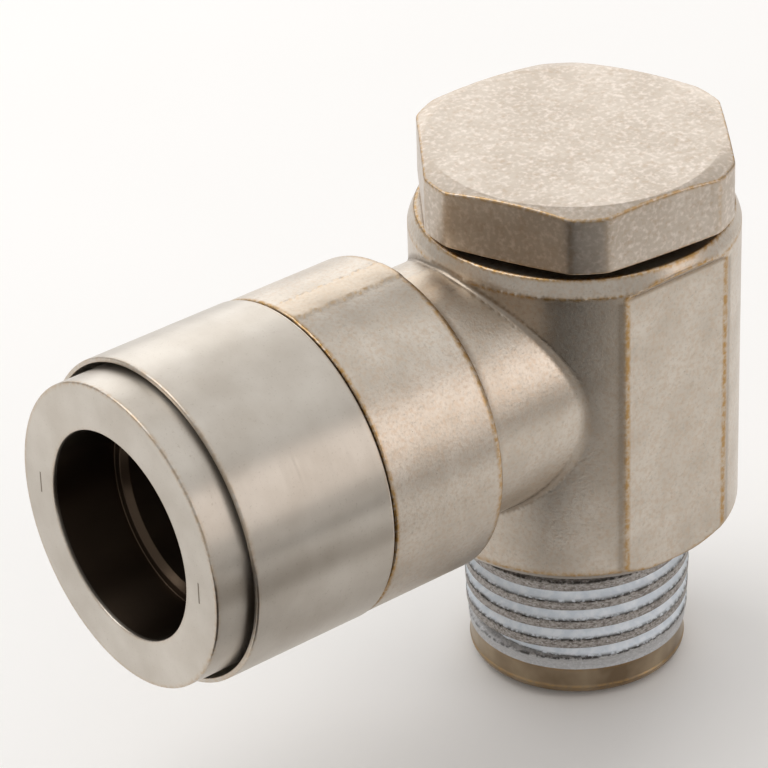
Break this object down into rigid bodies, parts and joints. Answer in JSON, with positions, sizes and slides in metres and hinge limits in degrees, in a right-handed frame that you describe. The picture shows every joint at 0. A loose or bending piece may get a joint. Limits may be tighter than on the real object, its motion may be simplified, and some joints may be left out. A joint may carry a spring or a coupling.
{
  "type": "push-in banjo elbow fitting",
  "caption": "Swivelling metal banjo elbow: a hex-headed hollow bolt with a taper pipe thread, and a side arm with a push-in port for a plastic tube.",
  "frame": {"origin": "on the bolt's axis, in the plane of the thread's tip", "axes": "+Z along the bolt towards its head; the arm and its tube port point along -X at rest; +Y completes the frame"},
  "size_m": [0.0411, 0.0186, 0.0332],
  "materials": {
    "satin_nickel": "electroless nickel on turned brass, satin",
    "forged_nickel": "nickel on forged brass, finely pitted satin",
    "stainless": "bright rolled strip",
    "seal_rubber": "moulded, slightly matt",
    "sealing_resin": "dried bluish white thread sealant"
  },
  "bodies": {
    "bolt": {"hollow_bolt": "satin_nickel", "thread_sealant": "sealing_resin", "upper_o_ring": "seal_rubber", "lower_o_ring": "seal_rubber", "retaining_ring": "stainless"},
    "swivel_body": {"banjo_body": "forged_nickel", "outer_sleeve": "satin_nickel", "guide_ring": "satin_nickel", "elastic_sleeve": "seal_rubber"},
    "claw_ring": {"lock_claws": "stainless"},
    "release_button": {"release_ring": "satin_nickel"}
  },
  "joints": [
    {"name": "body_swivel", "type": "hinge", "parent": "bolt", "child": "swivel_body", "pos_m": [0, 0, 0.02059], "axis": [0, 0, 1], "continuous": true},
    {"name": "claw_spin", "type": "hinge", "parent": "swivel_body", "child": "claw_ring", "pos_m": [-0.022, 0, 0.02059], "axis": [1, 0, 0], "continuous": true},
    {"name": "ring_press", "type": "slide", "parent": "claw_ring", "child": "release_button", "axis": [1, 0, 0], "range_m": [0, 0.0015], "stiffness_N_per_m": 800}
  ]
}
